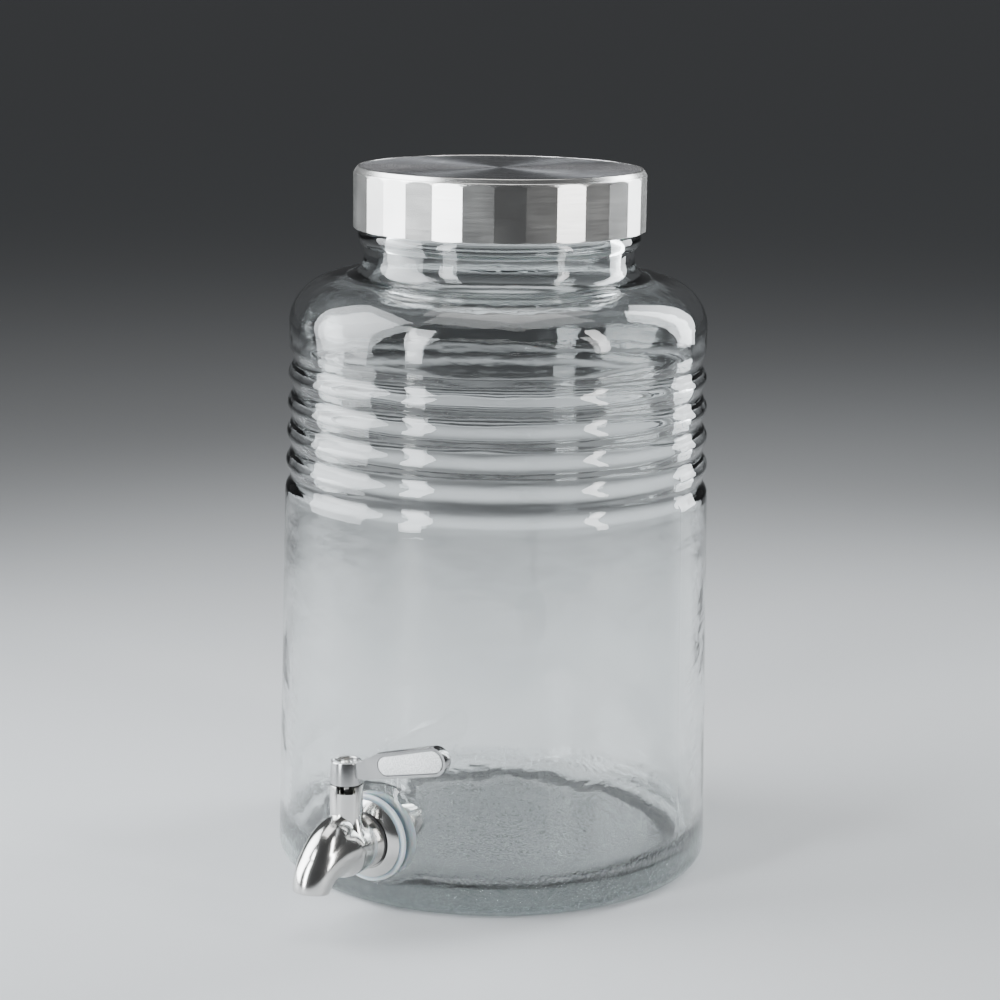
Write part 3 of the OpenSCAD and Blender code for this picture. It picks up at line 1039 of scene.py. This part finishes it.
    def spout(self) -> Piece:
        """The curved spout: an elbow with a narrower hump on it, and an open tip with a soft rim."""
        rings, rim = 44, 0.35
        curve = self.elbow()
        body = [(0.0, self.barrel_r - 0.3), (0.006, self.barrel_r - 0.03)]
        body += [(k / rings, self.elbow_r(k / rings)) for k in range(1, rings)]
        body += [(1 - (1 - math.sin(a)) * rim / 22, self.tip_r - rim * (1 - math.cos(a)))
                 for a in (math.radians(18 * k) for k in range(6))]
        piece = self.tube("spout_curved", curve, body, 0.3)
        collar = Bench.lathe("collar", [
            (0, self.weld_y - 3), (self.barrel_r, self.weld_y - 3), (self.barrel_r, self.weld_y + 1.2),
            (self.barrel_r - 0.5, self.weld_y + 3.6), (self.barrel_r - 1.7, self.weld_y + 6.4),
            (0, self.weld_y + 6.4)], 96, closed=False)
        Bench.join(piece, Bench.put(collar, self.along(self.axis_z)), "UNION")
        first, last = self.hump_r
        swell = [(k / 30, first + (last - first) * k / 30) for k in range(31)]
        Bench.join(piece, self.tube("hump", self.hump(), swell, 0), "UNION")
        Bench.soften(piece, 0.3, 5)
        Bench.join(piece, self.lying("behind", 40, self.weld_y - 20, self.weld_y, 32))
        passage = [(k / 24, self.water_r + (self.tip_bore - self.water_r) * k / 24) for k in range(6, 25)]
        Bench.join(piece, self.tube("passage", curve, passage, 0, 40))
        mouth = Bench.lathe("mouth", [(0, -2), (self.tip_bore + 0.4, -2), (self.tip_bore + 0.4, 0),
                                      (self.tip_bore, 0.5), (self.tip_bore, 3), (0, 3)], 48, closed=False)
        Bench.put(mouth, Matrix.Translation((0, -self.tip_y * MM, self.tip_z * MM))
                  @ Matrix.Rotation(-self.tip_lean, 4, "X"))
        Bench.join(piece, mouth)
        Bench.join(piece, self.lying("water", self.water_r, self.stem_y, self.stem_y + 11, 40))
        Bench.join(piece, self.core("pocket", self.housing_r - 0.05, self.bore_low + 0.5, self.over_tap))
        return Bench.smooth(piece, 30)

    def column(self) -> Piece:
        """The upright valve housing, which flares out over the barrel but not over the spout."""
        sides, r, soft, sunk = 96, self.housing_r, 0.3, 0.12
        rows: list[list[Vector]] = [[] for _ in range(15)]
        for i in range(sides):
            turn = math.tau * i / sides
            flare = self.flare_r * (1 - smooth_step(0.15, 0.8, -math.sin(turn))) + 0.02
            low, inner = (self.top_of(reach * math.cos(turn), self.stem_y - reach * math.sin(turn))
                          for reach in (r + flare, r + flare - soft))
            low -= sunk
            rise = (inner - low - sunk) / soft * flare
            profile = [(r, z) for z in self.column_foot]
            for k in range(9):
                t = k / 8
                profile.append((r + flare * (1 - t) ** 2,
                                low + 2 * t * (1 - t) * rise + t * t * (rise + flare)))
            profile += [(r, self.housing_top - soft), (r - 0.09, self.housing_top - 0.09),
                        (r - soft, self.housing_top)]
            for row, (reach, z) in zip(rows, profile):
                row.append(Vector((reach * math.cos(turn), reach * math.sin(turn) - self.stem_y, z)) * MM)
        return Bench.loft("column", rows)

    def housing(self) -> Piece:
        """The barrel and the upright valve housing, bored and notched."""
        barrel = Bench.lathe("tap_body_housing", [
            (0, self.barrel_y), (self.barrel_r - 0.5, self.barrel_y),
            *arc((self.barrel_r - 0.5, self.barrel_y + 0.5), (0.5, 0.5), -60, 0, 3),
            (self.barrel_r, self.weld_y - 0.12), (self.barrel_r - 0.1, self.weld_y),
            (0, self.weld_y)], 128, closed=False)
        Bench.put(barrel, self.along(self.axis_z))
        Bench.join(barrel, self.column(), "UNION")
        Bench.join(barrel, self.core("bore", self.bore_r, self.bore_low, self.over_tap))
        Bench.join(barrel, self.lying("water", self.water_r, 90, 118, 48))
        for start, stop in self.notches:
            Bench.join(barrel, self.notch(start, stop))
        return Bench.smooth(barrel, 24)

    def notch(self, start: float, stop: float) -> Piece:
        """A wedge that cuts a notch in the housing's rim between two angles."""
        low, high = self.housing_top - self.notch_h, self.housing_top + 2
        inner, outer = self.bore_r - 0.6, self.housing_r + 1
        rings = []
        count = 14
        for k in range(count + 1):
            turn = math.radians(start + (stop - start) * k / count)
            section = [(inner, low), (outer, low), (outer, high), (inner, high)]
            rings.append([Vector((r * math.cos(turn), r * math.sin(turn) - self.stem_y, z)) * MM
                          for r, z in section])
        return Bench.loft("notch", rings)

    def lock_nut(self) -> Piece:
        """The hexagonal nut with chamfered corners."""
        flats, thick = self.nut
        corner = flats / 2 / math.cos(math.pi / 6)
        start = self.seat_y - self.glass - self.washer_t - thick
        nut = Bench.lathe("lock_nut_hexagon", [(0, start), (corner, start), (corner, start + thick),
                                               (0, start + thick)], 6, closed=False)
        turned = [(0, start), (flats / 2 - 0.1, start), (corner + 0.1, start + 0.9),
                  (corner + 0.1, start + thick - 0.9), (flats / 2 - 0.1, start + thick), (0, start + thick)]
        Bench.join(nut, Bench.lathe("turned", turned, 72, closed=False), "INTERSECT")
        r = self.shank_r + 0.05
        bore = Bench.lathe("bore", [(0, start - 1), (r + 0.7, start - 1), (r, start + 0.5),
                                    (r, start + thick + 1), (0, start + thick + 1)], 60, closed=False)
        Bench.join(nut, bore)
        Bench.put(nut, self.along(self.axis_z))
        return Bench.smooth(nut, 20)

    def build(self, finishes: Finishes) -> None:
        """Builds the tap's fixed pieces."""
        inner_washer = self.seat_y - self.glass - self.washer_t
        finishes.add(self.washer("washer_outer", self.seat_y), "silicone", Body.JAR, "outer_washer")
        finishes.add(self.washer("washer_inner", inner_washer), "silicone", Body.JAR, "inner_washer")
        finishes.add(self.flange(), "polished_steel", Body.JAR, "flange")
        finishes.add(self.seal(), "black_rubber", Body.JAR, "flange_seal")
        finishes.add(self.shank(), "threaded_steel", Body.JAR, "threaded_shank")
        finishes.add(self.lock_nut(), "threaded_steel", Body.JAR, "lock_nut")
        finishes.add(self.spout(), "polished_steel", Body.JAR, "spout")
        finishes.add(self.housing(), "polished_steel", Body.JAR, "tap_body")


@dataclass
class Lever:
    """The lever with its pads and its screw. Sizes are in millimetres, placed from the stem's axis."""

    stem_y: float = -middle_of("stem_o_rings", Y)
    hub_z: float = low_of("lever_handle", Z)
    hub_h: float = 9.6
    hub_r: float = 6.6
    hub_taper: float = 0.5
    recess: tuple[float, float] = (4.4, 1.4)
    length: float = 48.0
    thick: float = 4.0
    grip_r: float = 5.75
    grip_rise: float = 16.6
    root: tuple[float, float, float] = (17.0, 10.1, 5.1)
    pad_rim: float = 1.0
    pad_gap: float = 0.45
    pad_shift: float = 3.3
    pad_depth: float = 0.9
    pad_proud: float = 0.2

    def at_stem(self, piece: Piece) -> Piece:
        """Moves a piece from the Z axis to the stem's axis."""
        return Bench.put(piece, Matrix.Translation((0, -self.stem_y * MM, 0)))

    def stadium(self, inset: float, shift: float = 0.0) -> list[tuple[float, float]]:
        """Outline of the grip drawn in by an inset: two arcs of unequal radius and their tangents.

        Args:
            inset: How far it is drawn in.
            shift: How far its root end is moved along, to make a pad shorter than the grip.

        Returns:
            The closed outline.
        """
        far = Vector((self.length - self.grip_r, self.hub_z + self.grip_rise))
        near = Vector((self.root[0] + shift, self.hub_z + self.root[1] + shift / 4))
        big, small = self.grip_r - inset, self.root[2] - inset
        way = far - near
        lean = math.degrees(math.atan2(way.y, way.x))
        tangent = math.degrees(math.acos((small - big) / way.length))
        return [
            *arc((far.x, far.y), (big, big), lean - tangent, lean + tangent, 22),
            *arc((near.x, near.y), (small, small), lean + tangent, lean - tangent + 360, 22),
        ]

    def handle(self) -> Piece:
        """The hub, the web and the grip in one piece, with a recess for each pad."""
        low, high, r = self.hub_z, self.hub_z + self.hub_h, self.hub_r
        half = self.thick / 2
        grip = Bench.plate("lever_handle_cast", self.stadium(0), -half, half)
        root_x, root_z = self.root[0], low + self.root[1]
        web = [(3, low + 3.2), (9, low + 3.3), (root_x, root_z - self.root[2] + 0.02), (root_x + 4, root_z),
               (root_x - 1.6, root_z + self.root[2] - 0.35), (9, high + 1.5), (3, high - 0.5)]
        Bench.join(grip, Bench.plate("web", web, -half, half), "UNION")
        Bench.round_edges(grip, 0.7, 50, 3)
        soft = 0.35
        top = r - self.hub_taper
        recess_r, recess_h = self.recess
        hub = Bench.lathe("hub", [
            (0, low), (r - soft, low), (r, low + soft), (top + 0.03, high - 0.6),
            *arc((top - 0.55, high - 0.55), (0.55, 0.55), 20, 90, 4),
            (recess_r + 0.25, high), (recess_r, high - 0.25), (recess_r, high - recess_h),
            (0, high - recess_h)], 72, closed=False)
        Bench.join(hub, grip, "UNION")
        hub.name = hub.data.name = "lever_handle_cast"
        for start in (-half - 1, half - self.pad_depth):
            pocket = Bench.plate("pocket", self.stadium(self.pad_rim, self.pad_shift), start,
                                 start + 1 + self.pad_depth)
            Bench.join(hub, pocket)
        return Bench.smooth(self.at_stem(hub), 28)

    def pad(self, name: str, side: int) -> Piece:
        """One inlaid pad with a soft raised edge, on the front (-1) or the back (1)."""
        face = self.thick / 2
        low, high = sorted((side * (face - self.pad_depth + 0.02), side * (face + self.pad_proud)))
        piece = Bench.plate(name, self.stadium(self.pad_rim + self.pad_gap, self.pad_shift), low, high)
        Bench.round_edges(piece, 0.18, 50, 2)
        return Bench.smooth(self.at_stem(piece), 28)

    def screw(self) -> Piece:
        """The button head screw in the hub, with a hexagonal socket."""
        seat = self.hub_z + self.hub_h - self.recess[1]
        head = Bench.lathe("cap_screw_button", [
            (0, seat - 3), (1.0, seat - 3), (1.0, seat), (2.9, seat), (3.1, seat + 0.3),
            *arc((0, seat - 1.6), (3.35, 3.35), 36, 90, 8)], 56, closed=False)
        Bench.join(head, Bench.rod("socket", 1.3, seat + 0.5, seat + 4, 6))
        return Bench.smooth(self.at_stem(head), 30)

    def build(self, finishes: Finishes) -> None:
        """Builds the lever's pieces that show."""
        finishes.add(self.handle(), "lever_steel", Body.LEVER, "lever_handle")
        finishes.add(self.pad("pad_front_inlay", -1), "pad_plastic", Body.LEVER, "lever_pad_front")
        finishes.add(self.pad("pad_back_inlay", 1), "pad_plastic", Body.LEVER, "lever_pad_back")
        finishes.add(self.screw(), "threaded_steel", Body.LEVER, "cap_screw")


@dataclass
class Studio:
    """Floor, light and camera. Sizes are in metres."""

    focal: float = 95.08
    distance: float = 1.09306
    height: float = 0.38654
    azimuth: float = math.radians(32.17)
    pitch: float = 0.2103
    roll: float = 0.0144
    shift: float = 0.0041

    def camera(self) -> None:
        """Stands the camera a little above the lid and looks down on the jar."""
        data = bpy.data.cameras.new("camera")
        data.lens = self.focal
        data.sensor_width = 36
        data.shift_x = self.shift
        data.clip_end = 200
        camera = bpy.data.objects.new("camera", data)
        bpy.context.collection.objects.link(camera)
        spot = (self.distance * math.sin(self.azimuth), -self.distance * math.cos(self.azimuth), self.height)
        camera.matrix_world = (Matrix.Translation(spot) @ Matrix.Rotation(self.azimuth, 4, "Z")
                               @ Matrix.Rotation(math.pi / 2 - self.pitch, 4, "X")
                               @ Matrix.Rotation(self.roll, 4, "Z"))
        bpy.context.scene.camera = camera

    def floor(self) -> None:
        """A wide pale floor."""
        Bench.deselect()
        bpy.ops.mesh.primitive_plane_add(size=80)
        floor = bpy.context.active_object
        floor.name = "floor"
        book = NodeBook("floor_paper")
        fibres = book.grain(book.place(), 400, 3, 0.6)
        floor.data.materials.append(book.finish(
            Base_Color=(0.52, 0.53, 0.54, 1), Roughness=fibres * 0.1 + 0.6,
            Normal=book.bump(fibres, 0.02 * MM)))

    def softbox(self, name: str, spot: Vector, size: tuple[float, float], watts: float,
                color: tuple[float, float, float] = (1, 1, 1), aim: Vector = Vector((0, 0, 0.15))) -> None:
        """A rectangular light that faces a point."""
        data = bpy.data.lights.new(name, "AREA")
        data.shape = "RECTANGLE"
        data.size, data.size_y = size
        data.spread = math.radians(110)
        data.energy = watts
        data.color = color
        lamp = bpy.data.objects.new(name, data)
        bpy.context.collection.objects.link(lamp)
        lamp.location = spot
        lamp.rotation_euler = (aim - spot).to_track_quat("-Z", "Y").to_euler()

    def side_of_camera(self, turn: float, reach: float, height: float) -> Vector:
        """A spot counted by its turn to the right of the camera, in degrees."""
        angle = self.azimuth + math.radians(turn)
        return Vector((reach * math.sin(angle), -reach * math.cos(angle), height))

    def lights(self) -> None:
        """Soft light from above, a broad box on the left, two narrow ones in front and one behind."""
        cool = (0.93, 0.97, 1)
        self.softbox("box_top", Vector((0, 0.1, 1.7)), (1.1, 1.1), 4.5, aim=Vector((0, 0, 0)))
        self.softbox("box_left", self.side_of_camera(-92, 0.66, 0.45), (0.6, 0.9), 8, cool)
        self.softbox("strip_left", self.side_of_camera(-44, 0.95, 0.46), (0.22, 0.9), 4.8, cool)
        self.softbox("strip_right", self.side_of_camera(56, 0.95, 0.5), (0.12, 0.8), 2.4)
        self.softbox("box_back", self.side_of_camera(122, 0.8, 0.5), (0.3, 0.9), 4, cool)
        world = bpy.data.worlds.new("studio")
        world.use_nodes = True
        world.node_tree.nodes["Background"].inputs["Color"].default_value = (0.075, 0.077, 0.08, 1)
        bpy.context.scene.world = world

    def build(self) -> None:
        """Sets up the studio."""
        self.camera()
        self.floor()
        self.lights()


def main() -> None:
    """Builds the jar, the lid, the tap and the studio in order."""
    logging.basicConfig(level=logging.INFO, format="%(message)s")
    finishes = Finishes()
    Studio().build()
    Jar().build(finishes)
    Lid().build(finishes)
    Tap().build(finishes)
    Lever().build(finishes)
    slots = {row["node"]: row["material_slot"] for row in frame["record"]["subparts"]}
    for name, node in frame["nodes"].items():
        finishes.dress(node, slots[name])


if __name__ == "__main__":
    main()
